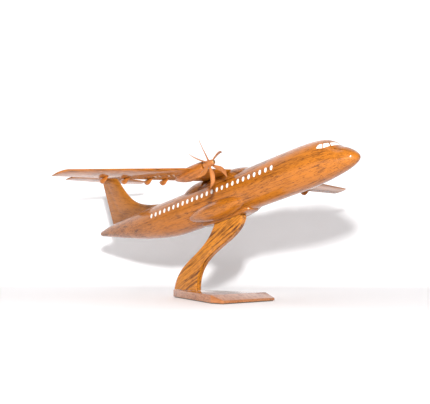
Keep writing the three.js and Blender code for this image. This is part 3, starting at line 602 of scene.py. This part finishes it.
def begin_block_ring(name, corner, segments):
    """A filled square of half width 1 with rounded corners that faces along X."""
    piece = begin(bpy.ops.mesh.primitive_plane_add, name, size=2, rotation=(0, math.pi / 2, 0))
    bpy.ops.mesh.bevel(offset=corner, segments=segments, affect="VERTICES")
    bpy.ops.mesh.select_all(action="SELECT")
    return piece


def saddle_ring(station, over_wing):
    share = (station - saddle_front) / (saddle_rear - saddle_front)
    before = max(0, 1 - share / saddle_ramp_front)
    behind = max(0, 1 - (1 - share) / saddle_ramp_rear)
    rise = 1 - max(before, behind) ** 2
    full = fuselage_radius + mix(saddle_front_height, saddle_rear_height, share)
    crown = mix(fuselage_radius - saddle_sink, full, rise)
    if over_wing:
        crown = wing_height - seat_depth
    half_width = saddle_half_width * mix(saddle_end_width, 1, rise)
    return (-station, 0, (saddle_bottom + crown) / 2), (1, half_width, (crown - saddle_bottom) / 2)


seat_front = wing_station - seat_gap
seat_rear = wing_station + wing_chord + seat_gap
stations = [mix(saddle_front + saddle_inset, seat_front, n / 12) for n in range(13)]
rings = [saddle_ring(station, False) for station in stations]
stations = (seat_front + seat_wall, wing_station + seat_middle, seat_rear - seat_wall)
rings += [saddle_ring(station, True) for station in stations]
stations = [mix(seat_rear, saddle_rear - saddle_inset, n / 16) for n in range(17)]
rings += [saddle_ring(station, False) for station in stations]
saddle = begin_block_ring("saddle_block", corner=0.9, segments=9)
draw_out(rings)
close_shape(saddle, subdivisions=0, crease_angle=35)
settle(saddle, aircraft_axes, "aircraft", "varnished_mahogany", fuselage_wood, "wing_saddle")

# ---- Nacelles ----
# Two pods carved from offcuts of the same wood, round at the front face and thinned to an edge behind. They
# are grooved for the wing and glued round its leading edge.

nacelle_front = 138.4
nacelle_length = 45.7
nacelle_rings = 26
nacelle_face_radius = 4.5
nacelle_half_width = 6.8
nacelle_top = 5.6
nacelle_keel = 9.8
nacelle_swell_end = 0.38
nacelle_thinning_start = 0.42
nacelle_tail = (0.5, 0.8, 2.7)
face_easing = 0.93
nacelle_wood = lacquered_wood("nacelle_wood", (0, nose_up, 0), (0.7, 0.11, 0.4), (0.40, 0.12, 0.012), brown,
                              0.35, 0.45, 0.6)


def nacelle_ring(share, side):
    """The pod's section at a share of its length; the tail's sizes are its half width, top and keel."""
    front = math.sqrt(1 - max(0, 1 - share / nacelle_swell_end) ** 2)
    thinning = max(0, (share - nacelle_thinning_start) / (1 - nacelle_thinning_start)) ** 1.9
    tail_half_width, tail_top, tail_keel = nacelle_tail
    half_width = mix(mix(nacelle_face_radius, nacelle_half_width, front), tail_half_width, thinning)
    top = mix(mix(nacelle_face_radius, nacelle_top, front), tail_top, thinning)
    keel = mix(mix(nacelle_face_radius, nacelle_keel, front), tail_keel, thinning)
    station = nacelle_front + nacelle_length * share
    return oval(station, side * propeller_y, propeller_height - keel, propeller_height + top, half_width)


for side_name, side in (("left", 1), ("right", -1)):
    nacelle = begin_ring(f"engine_pod_{side_name}", "X", 32)
    shares = [0, 0.004] + [mix(0.02, 1, n / nacelle_rings) for n in range(nacelle_rings + 1)]
    rings = [nacelle_ring(share, side) for share in shares]
    middle, (along, half_width, half_height) = rings[0]
    rings[0] = (middle, (along, face_easing * half_width, face_easing * half_height))
    draw_out(rings)
    close_shape(nacelle, crease_angle=50)
    settle(nacelle, aircraft_axes, "aircraft", "varnished_mahogany", nacelle_wood, f"nacelle_{side_name}")

# ---- Undercarriage sponsons and belly pad ----
# Two fat teardrops glued to the lower sides of the fuselage, and between them the flat pad that stands on
# the arm.

sponson_station = 132
sponson_length = 92
sponson_half_width = 12.4
sponson_half_height = 9.6
sponson_height = -12.6
sponson_spread = 14
pad_station = 138
pad_length = 74
pad_half_width = 9
pad_top = -10
pad_depth = 1.8

def crowded_at_ends(count):
    """Shares of a length from 0 to 1, close together at both ends."""
    return [(1 - math.cos(math.pi * n / count)) / 2 for n in range(count + 1)]


for side_name, side in (("left", 1), ("right", -1)):
    rings = []
    for share in crowded_at_ends(40):
        swell = max(math.sin(math.pi * share ** 0.9) ** 0.6, 0.06)
        middle = sponson_height + 2.5 * (1 - swell)
        y = side * (sponson_spread - 2 * (1 - swell))
        half_height = sponson_half_height * swell
        half_width = sponson_half_width * swell
        station = sponson_station + sponson_length * share
        rings.append(oval(station, y, middle - half_height, middle + half_height, half_width))
    sponson = begin_ring(f"wheel_fairing_{side_name}", "X", 56)
    draw_out(rings)
    close_shape(sponson, subdivisions=0)
    settle(sponson, aircraft_axes, "aircraft", "varnished_mahogany", fuselage_wood, f"sponson_{side_name}")

rings = []
for share in crowded_at_ends(20):
    end = min(1, 0.45 + 2.4 * math.sqrt(share), 0.45 + 2.4 * math.sqrt(1 - share))
    depth = min(1, 0.35 + 5 * share, 0.35 + 5 * (1 - share))
    bottom = -fuselage_radius - pad_depth * depth
    middle = (-pad_station - pad_length * share, 0, (bottom + pad_top) / 2)
    rings.append((middle, (1, pad_half_width * end, (pad_top - bottom) / 2)))
pad = begin_block_ring("belly_block", corner=0.16, segments=4)
draw_out(rings)
close_shape(pad, subdivisions=0, crease_angle=35)
settle(pad, aircraft_axes, "aircraft", "varnished_mahogany", fuselage_wood, "belly_pad")

# ---- Fin ----
# A thin board of the same wood, its dorsal fillet run forward along the fuselage, dowelled and glued to the
# fuselage's back. A shallow scribed line marks the rudder.

fin_height = 55
fin_rear = 373.5
fin_sweep = 10
fin_chord = 54
fin_tip_chord = 28
fillet_length = 98
fillet_fade = 7.5
fin_thickness = 5.2
fin_tip_thinness = 0.62
fin_top_share = 0.985
fin_steps = 26

fin = begin_ring("fin_board", "Z", 48)
press_section(fin, 0, 1, notch=(0.70, 0.02, 0.14))
rings = []
for n in range(-1, fin_steps + 1):
    share = fin_top_share * n / fin_steps
    above = max(share, 0)
    chord = mix(fin_chord, fin_tip_chord, above ** 0.85)
    reach = mix(chord, fillet_length, math.exp(-fillet_fade * above))
    edge = fin_rear + fin_sweep * share
    thickness = fin_thickness * mix(1, fin_tip_thinness, above)
    middle = (-edge + reach / 2, 0, fuselage_radius + fin_height * share)
    rings.append((middle, (reach / 2, thickness / 2, 1)))
draw_out(rings)
close_shape(fin, subdivisions=0, crease_angle=40)
fin_wood = lacquered_wood("fin_wood", (0, nose_up - 22, 0), (0.5, 0.4, 0.1), (0.42, 0.14, 0.012), brown,
                          0.3, 0.4, 0.5)
settle(fin, aircraft_axes, "aircraft", "varnished_mahogany", fin_wood, "fin")

# ---- Tailplane ----
# A small tapered board of the same wood, planed to a thin section. It lies across the top of the fin and is
# glued and pinned there.

tailplane_half = 56
tailplane_chord = 26
tailplane_tip_chord = 14
tailplane_sweep = 10
tailplane_thickness = 3.2
tailplane_tip_thickness = 2
tailplane_corner = 4
tailplane_height = fuselage_radius + fin_height
tailplane_front = fin_rear + fin_sweep - tailplane_chord


def tailplane_section(y):
    share = abs(y) / tailplane_half
    tip_end = max(0, abs(y) - (tailplane_half - tip_rounding)) / tip_rounding
    corner = tailplane_corner * tip_end ** 2
    chord = mix(tailplane_chord, tailplane_tip_chord, share) - corner
    front = tailplane_front + tailplane_sweep * share + corner
    thickness = mix(tailplane_thickness, tailplane_tip_thickness, share) * (1 - 0.4 * tip_end ** 2)
    return (-front - chord / 2, y, tailplane_height), (chord / 2, 1, thickness / 2)


tailplane = begin_ring("tailplane_board", "Y", 56)
press_section(tailplane, 0, 2)
half_places = [0, 8, 20, 35, 45, 51, 53.5, 55, 55.7, tailplane_half]
places = sorted({y for place in half_places for y in (place, -place)})
draw_out([tailplane_section(y) for y in places])
close_shape(tailplane, subdivisions=0, crease_angle=50)
tailplane_wood = lacquered_wood("tailplane_wood", (0, nose_up, 90), (0.9, 0.1, 0.6), orange, brown,
                                0.6, 0.4, 0.4)
settle(tailplane, aircraft_axes, "aircraft", "varnished_mahogany", tailplane_wood, "tailplane")

# ---- Flap fairings ----
# Small wooden canoes, four under each wing, glued to its underside. Their tails reach past the trailing
# edge. One is carved and the rest are copied from it.

fairing_places = (68.5, 89, 118, 144)
fairing_length = 16
fairing_top = -0.3
fairing_shallow = -1.5
fairing_depth = 4.6
fairing_half_width = 1.5
fairing_overhang = 5

rings = []
for share in crowded_at_ends(18):
    swell = max(math.sin(math.pi * share ** 1.5) ** 0.8, 0.06)
    keel = fairing_shallow - fairing_depth * swell
    rings.append(oval(fairing_length * share, 0, keel, fairing_top, fairing_half_width * swell))
canoe = begin_ring("flap_canoe", "X", 16)
draw_out(rings)
close_shape(canoe)
for side_name, side in (("left", 1), ("right", -1)):
    for n, y in enumerate(fairing_places, 1):
        (middle, _, height), (half_chord, _, _) = wing_section(y)
        start = middle - half_chord - fairing_overhang + fairing_length
        fairing = duplicate(canoe, f"flap_canoe_{side_name}_{n}")
        place = aircraft_axes @ Matrix.Translation((start, side * y, height))
        settle(fairing, place, "aircraft", "varnished_mahogany", nacelle_wood,
               f"flap_fairing_{side_name}_{n}")
bpy.data.objects.remove(canoe)

# ---- Propeller hubs ----
# Short cones turned from the same wood, with a rounded front edge. Each is drilled for its pin and for the
# shanks of six blades.

hub_back = 137.3
hub_length = 12.2
hub_profile = ((0, 3.5), (0.15, 3.95), (0.5, 4.2), (2, 4.02), (4, 3.76), (6, 3.5), (8, 3.22), (10, 2.96),
               (11.2, 2.72), (11.75, 2.45), (12.1, 2.0), (hub_length, 1.5))
prop_wood = lacquered_wood("propeller_wood", (0, nose_up, 0), (0.2, 0.7, 0.9), (0.40, 0.14, 0.035),
                           (0.18, 0.055, 0.012), 0.35, 0.3, 0.4)

def round_ring(station, side, radius):
    """A round ring about a propeller's axis."""
    return oval(station, side * propeller_y, propeller_height - radius, propeller_height + radius, radius)

for side_name, side in (("left", 1), ("right", -1)):
    hub = begin_ring(f"spinner_{side_name}", "X", 36)
    draw_out([round_ring(hub_back - along, side, radius) for along, radius in hub_profile])
    close_shape(hub, crease_angle=50)
    settle(hub, aircraft_axes, f"propeller_{side_name}", "varnished_mahogany", prop_wood,
           f"propeller_hub_{side_name}")

# ---- Propeller blades ----
# Six to a hub, whittled thin, twisted and curved like scimitars, and glued into drilled sockets by hand,
# so that no two gaps are alike. Each propeller has come to rest at its own turn.

propeller_radius = 24.6
blade_station = 131.3
blade_angles = (14, 67, 142, 204, 272, 319)
propeller_turns = {"left": -31, "right": 0}
root_pitch = 58
tip_pitch = 36
widest = 4.8
blade_half_thickness = 0.8
# Share of the radius, of the widest chord, of the thickness, and bow forward in chords.
blade_form = (
    (0.10, 0.375, 1.50, 0.0), (0.14, 0.375, 1.50, 0.0), (0.17, 0.44, 1.2, 0.0), (0.22, 0.56, 1.0, 0.02),
    (0.32, 0.78, 0.92, 0.09), (0.42, 0.95, 0.85, 0.19), (0.52, 1.0, 0.76, 0.25), (0.62, 0.99, 0.68, 0.25),
    (0.72, 0.90, 0.58, 0.18), (0.82, 0.75, 0.50, 0.03), (0.90, 0.57, 0.45, -0.15), (0.96, 0.36, 0.40, -0.36),
    (0.99, 0.22, 0.36, -0.52), (1.0, 0.10, 0.30, -0.58),
)

blade = begin_ring("blade", "Z", 16)
turned = 0
middle = Vector((0, 0, 0))
size = (1.0, 1.0)
for n, (reach, width, thin, bow) in enumerate(blade_form):
    angle = -math.radians(90 - mix(root_pitch, tip_pitch, reach))
    chordwise = Vector((math.cos(angle), math.sin(angle), 0))
    place = chordwise * (bow * widest) + Vector((0, 0, propeller_radius * reach))
    if n:
        bpy.ops.mesh.extrude_region_move(TRANSFORM_OT_translate={"value": place - middle})
    else:
        bpy.ops.transform.translate(value=place)
    # unturned, resized along the chord, and turned to the new pitch
    bpy.ops.transform.rotate(value=turned, orient_axis="Z", center_override=place)
    new_size = (widest * width / 2, blade_half_thickness * thin)
    growth = (new_size[0] / size[0], new_size[1] / size[1], 1)
    bpy.ops.transform.resize(value=growth, center_override=place)
    bpy.ops.transform.rotate(value=-angle, orient_axis="Z", center_override=place)
    turned, middle, size = angle, place, new_size
close_shape(blade, crease_angle=60)
for side_name, side in (("left", 1), ("right", -1)):
    for n, angle in enumerate(blade_angles, 1):
        around = Matrix.Rotation(math.radians(90 - angle - propeller_turns[side_name]), 4, "X")
        centre = Matrix.Translation((-blade_station, side * propeller_y, propeller_height))
        copy = duplicate(blade, f"scimitar_{side_name}_{n}")
        place = aircraft_axes @ centre @ around
        settle(copy, place, f"propeller_{side_name}", "varnished_mahogany", prop_wood,
               f"blade_{side_name}_{n}")
bpy.data.objects.remove(blade)

# ---- Propeller pins and washers ----
# A brass pin with a domed head is driven through each hub into its nacelle, so that the propeller turns on
# it, with a brass washer behind the hub. The brass has dulled a little.

brass = bpy.data.materials.new("aged_brass")
brass.use_nodes = True
tree = brass.node_tree
place = add_node(tree, "ShaderNodeTexCoord").outputs["Object"]
spots = add_node(tree, "ShaderNodeTexNoise", {"Vector": place, "Scale": 1400.0, "Detail": 3.0})
tarnish = spots.outputs["Fac"]
tone = add_node(tree, "ShaderNodeMix", {"Factor": ramp(tree, tarnish, 0.35, 0.7), "A": (0.62, 0.38, 0.15, 1),
                                        "B": (0.36, 0.19, 0.08, 1)}, data_type="RGBA")
shader = tree.nodes["Principled BSDF"]
tree.links.new(tone.outputs["Result"], shader.inputs["Base Color"])
tree.links.new(maths(tree, "ADD", maths(tree, "MULTIPLY", tarnish, 0.3), 0.2), shader.inputs["Roughness"])
shader.inputs["Metallic"].default_value = 1

pin_profile = ((0, 0.6), (0.1, 0.8), (14.5, 0.8), (26.9, 0.8), (26.95, 1.6), (27.2, 1.7), (27.45, 1.45),
               (27.62, 1.0), (27.7, 0.4))
pin_back = nacelle_front + 14

def dress(name, finish):
    """Gives a fastening that keeps its plain shape its finish."""
    slots = frame["nodes"][name].data.materials
    slots.clear()
    slots.append(finish)

for side_name, side in (("left", 1), ("right", -1)):
    pin = begin_ring(f"brass_pin_{side_name}", "X", 20)
    draw_out([round_ring(pin_back - along, side, radius) for along, radius in pin_profile])
    close_shape(pin, subdivisions=0)
    settle(pin, aircraft_axes, "aircraft", "brass", brass, f"propeller_pin_{side_name}")
    dress(f"propeller_washer_{side_name}", brass)

# ---- Dowels and screws ----
# Hidden fastenings that keep their plain shapes: planed hardwood dowels glued into the wing and the fin, a
# steel pin in the tailplane, and plated screws that hold the arm to the base from below.

steel = bpy.data.materials.new("plated_steel")
steel.use_nodes = True
tree = steel.node_tree
place = add_node(tree, "ShaderNodeTexCoord").outputs["Object"]
drawn = stretched_noise(tree, place, (1, 1, 0.05), 2500, 2, 0.6)
greys = {"Factor": drawn, "A": (0.50, 0.51, 0.53, 1), "B": (0.70, 0.71, 0.73, 1)}
tone = add_node(tree, "ShaderNodeMix", greys, data_type="RGBA")
shader = tree.nodes["Principled BSDF"]
tree.links.new(tone.outputs["Result"], shader.inputs["Base Color"])
tree.links.new(maths(tree, "ADD", maths(tree, "MULTIPLY", drawn, 0.2), 0.2), shader.inputs["Roughness"])
shader.inputs["Metallic"].default_value = 1

beech = bpy.data.materials.new("planed_beech")
beech.use_nodes = True
tree = beech.node_tree
wood = add_node(tree, "ShaderNodeGroup", node_tree=grain)
turned = add_node(tree, "ShaderNodeMapping", {
    "Vector": add_node(tree, "ShaderNodeTexCoord").outputs["Object"],
    "Rotation": (0, math.radians(90 + nose_up), 0)})
tree.links.new(turned.outputs[0], wood.inputs["Place"])
wood.inputs["Pale"].default_value = (0.70, 0.52, 0.33, 1)
wood.inputs["Deep"].default_value = (0.42, 0.26, 0.13, 1)
shader = tree.nodes["Principled BSDF"]
tree.links.new(wood.outputs["Colour"], shader.inputs["Base Color"])
tree.links.new(maths(tree, "ADD", wood.outputs["Roughness"], 0.3), shader.inputs["Roughness"])

hidden = {"fin_dowel_1": beech, "fin_dowel_2": beech, "wing_dowel_1": beech, "wing_dowel_2": beech,
          "tailplane_pin": steel, "stand_screw_1": steel, "stand_screw_2": steel}
for name, finish in hidden.items():
    dress(name, finish)

# ---- Stand arm ----
# An S-shaped plank sawn out across the board, so that its stripes run up and forward. Its edges are
# rounded over by sanding, and it is lacquered like the aircraft.

mm = 0.001
arm_low, arm_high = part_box("stand_arm")
arm_foot = Vector((arm_low.x, 0, arm_low.z))
arm_foot_length = 37.3 * mm
arm_height = 70.7 * mm
arm_reach = 64 * mm
arm_top_length = 44.6 * mm
arm_thickness = arm_high.y - arm_low.y
arm_edge = 1.6 * mm
arm_corner = 4 * mm
arm_steps = 30
top_rear = arm_foot + Vector((arm_reach, 0, arm_height))
along_top = Vector((math.cos(math.radians(nose_up)), 0, math.sin(math.radians(nose_up))))
top_front = top_rear + along_top * arm_top_length
front_end = top_front + Vector((-0.35, 0, -1)) * arm_corner


def bezier(points, t):
    a, b, c, d = points
    return a * (1 - t) ** 3 + b * 3 * t * (1 - t) ** 2 + c * 3 * t * t * (1 - t) + d * t ** 3


rear_curve = (arm_foot, arm_foot + Vector((7.5 * mm, 0, arm_height * 0.49)),
              top_rear + Vector((-15.5 * mm, 0, -arm_height * 0.49)), top_rear)
foot_front = arm_foot + Vector((arm_foot_length, 0, 0))
front_curve = (foot_front, foot_front + Vector((-2 * mm, 0, arm_height * 0.63)),
               front_end + Vector((-9 * mm, 0, -arm_height * 0.41)), front_end)
ends = [(bezier(rear_curve, n / arm_steps), bezier(front_curve, n / arm_steps)) for n in range(arm_steps)]
# near the top the front corner is rounded over
for t in (0, 0.35, 0.7, 1):
    rear = top_rear - (1 - t) * 0.9 * mm * Vector((0.12, 0, 1))
    corner = bezier((front_end, mix(front_end, top_front, 0.8), mix(top_rear, top_front, 0.97),
                     top_front - along_top * arm_corner), t)
    ends.append((rear, corner))

arm = begin(bpy.ops.mesh.primitive_plane_add, "arm_plank", size=1)
rear, front = ends[0]
bpy.ops.transform.resize(value=(front.x - rear.x, arm_thickness, 1), center_override=(0, 0, 0))
bpy.ops.transform.translate(value=(rear + front) / 2)
bpy.ops.mesh.bevel(offset=arm_edge, segments=5, affect="VERTICES")
bpy.ops.mesh.select_all(action="SELECT")
for (old_rear, old_front), (rear, front) in zip(ends, ends[1:]):
    bpy.ops.mesh.extrude_region_move(TRANSFORM_OT_translate={"value": (0, 0, 0)})
    edit = bmesh.from_edit_mesh(arm.data)
    ring = {vertex.index for vertex in edit.verts if vertex.select}
    middle = (old_rear.x + old_front.x) / 2
    ahead = {vertex.index for vertex in edit.verts if vertex.select and vertex.co.x > middle}
    for half, step in ((ahead, front - old_front), (ring - ahead, rear - old_rear)):
        edit = bmesh.from_edit_mesh(arm.data)
        for vertex in edit.verts:
            vertex.select = vertex.index in half
        edit.select_flush_mode()
        bpy.ops.transform.translate(value=step)
    edit = bmesh.from_edit_mesh(arm.data)
    for vertex in edit.verts:
        vertex.select = vertex.index in ring
    edit.select_flush_mode()
close_shape(arm, subdivisions=0, crease_angle=30)
arm_wood = lacquered_wood("arm_wood", (0, 30, 0), (0.4, 0.9, 0.3), (0.56, 0.20, 0.016), (0.11, 0.030, 0.003),
                          1.1, 0.9, 0.2, coat_roughness=0.12)
settle(arm, Matrix(), "stand", "stand_wood", arm_wood, "stand_arm")

# ---- Stand pins ----
# Two plain steel pins, square to the arm's sloping top, glued into holes in the arm. Their ends are
# chamfered, and the aircraft drops onto them.

pin_spacing = 24 * mm
pin_profile = ((-10.2, 1.1), (-9.8, 1.5), (8.2, 1.5), (8.8, 1.1))
top_middle = top_rear + along_top * arm_top_length / 2
for n, ahead in ((1, -pin_spacing / 2), (2, pin_spacing / 2)):
    pin = begin_ring(f"steel_pin_{n}", "Z", 24)
    draw_out([((0, 0, height * mm), (radius * mm, radius * mm, 1)) for height, radius in pin_profile])
    close_shape(pin, subdivisions=0)
    tilt = Matrix.Rotation(-math.radians(nose_up), 4, "Y")
    place = Matrix.Translation(top_middle + along_top * ahead) @ tilt
    settle(pin, place, "stand", "steel", steel, f"stand_pin_{n}")

# ---- Base plate ----
# A spade-shaped board of striped wood, narrow under the arm's heel, its front planed down to a thin lip.
# Its edges are eased and it is lacquered, and the arm is screwed to it from below.

base_low, base_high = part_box("base_plate")
base_rear_half = 4.5 * mm
base_shoulder_half = base_high.y
base_front_half = 37 * mm
base_setback = 15.5 * mm
base_lip = 2.6 * mm
edge_rounding = 0.9 * mm
shoulder_x = base_high.x - base_setback

base = begin(bpy.ops.mesh.primitive_plane_add, "base_board", size=1)
edit = bmesh.from_edit_mesh(base.data)
for vertex in edit.verts:
    ahead = vertex.co.x > 0
    vertex.co.x = shoulder_x if ahead else base_low.x
    vertex.co.y = math.copysign(base_shoulder_half if ahead else base_rear_half, vertex.co.y)
    vertex.co.z = base_low.z
bmesh.update_edit_mesh(base.data)
bpy.ops.mesh.select_mode(type="EDGE")
edit = bmesh.from_edit_mesh(base.data)
for edge in edit.edges:
    edge.select = all(vertex.co.x > shoulder_x - 1e-5 for vertex in edge.verts)
edit.select_flush_mode()
bpy.ops.mesh.extrude_region_move(TRANSFORM_OT_translate={"value": (base_setback, 0, 0)})
bpy.ops.transform.resize(value=(1, base_front_half / base_shoulder_half, 1), center_override=(0, 0, 0))
bpy.ops.mesh.select_mode(type="FACE")
bpy.ops.mesh.select_all(action="SELECT")
bpy.ops.mesh.extrude_region_move(TRANSFORM_OT_translate={"value": (0, 0, base_high.z - base_low.z)})
bpy.ops.mesh.select_mode(type="VERT")
edit = bmesh.from_edit_mesh(base.data)
for vertex in edit.verts:
    vertex.select = vertex.co.x > base_high.x - 1e-5 and vertex.co.z > base_low.z + 1e-5
edit.select_flush_mode()
bpy.ops.transform.translate(value=(0, 0, base_low.z + base_lip - base_high.z))
bpy.ops.mesh.select_all(action="SELECT")
bpy.ops.mesh.normals_make_consistent(inside=False)
bpy.ops.object.mode_set(mode="OBJECT")
easing = base.modifiers.new("easing", "BEVEL")
easing.width = edge_rounding
easing.segments = 4
easing.limit_method = "ANGLE"
easing.angle_limit = math.radians(12)
bpy.ops.object.modifier_apply(modifier=easing.name)
bpy.ops.object.shade_smooth_by_angle(angle=math.radians(30))
base_wood = lacquered_wood("base_wood", (0, 0, 0), (0.8, 0.2, 0.5), (0.44, 0.17, 0.06), (0.18, 0.06, 0.018),
                           0.6, 0.4, 0.4, coat_roughness=0.06)
settle(base, Matrix(), "stand", "stand_wood", base_wood, "base_plate")

# ---- Felt ----
# A thin sheet of green wool felt, cut to the base's outline and glued under it, so that the stand doesn't
# scratch the desk.

felt = bpy.data.materials.new("green_felt")
felt.use_nodes = True
tree = felt.node_tree
place = add_node(tree, "ShaderNodeTexCoord").outputs["Object"]
fibres = add_node(tree, "ShaderNodeTexNoise", {"Vector": place, "Scale": 2600.0, "Detail": 4.0,
                                               "Distortion": 2.0}).outputs["Fac"]
greens = {"Factor": fibres, "A": (0.010, 0.030, 0.014, 1), "B": (0.035, 0.08, 0.04, 1)}
tone = add_node(tree, "ShaderNodeMix", greens, data_type="RGBA")
shader = tree.nodes["Principled BSDF"]
tree.links.new(tone.outputs["Result"], shader.inputs["Base Color"])
shader.inputs["Roughness"].default_value = 0.95
nap = add_node(tree, "ShaderNodeBump", {"Height": fibres, "Strength": 0.6, "Distance": 0.0002})
tree.links.new(nap.outputs[0], shader.inputs["Normal"])
dress("base_felt", felt)
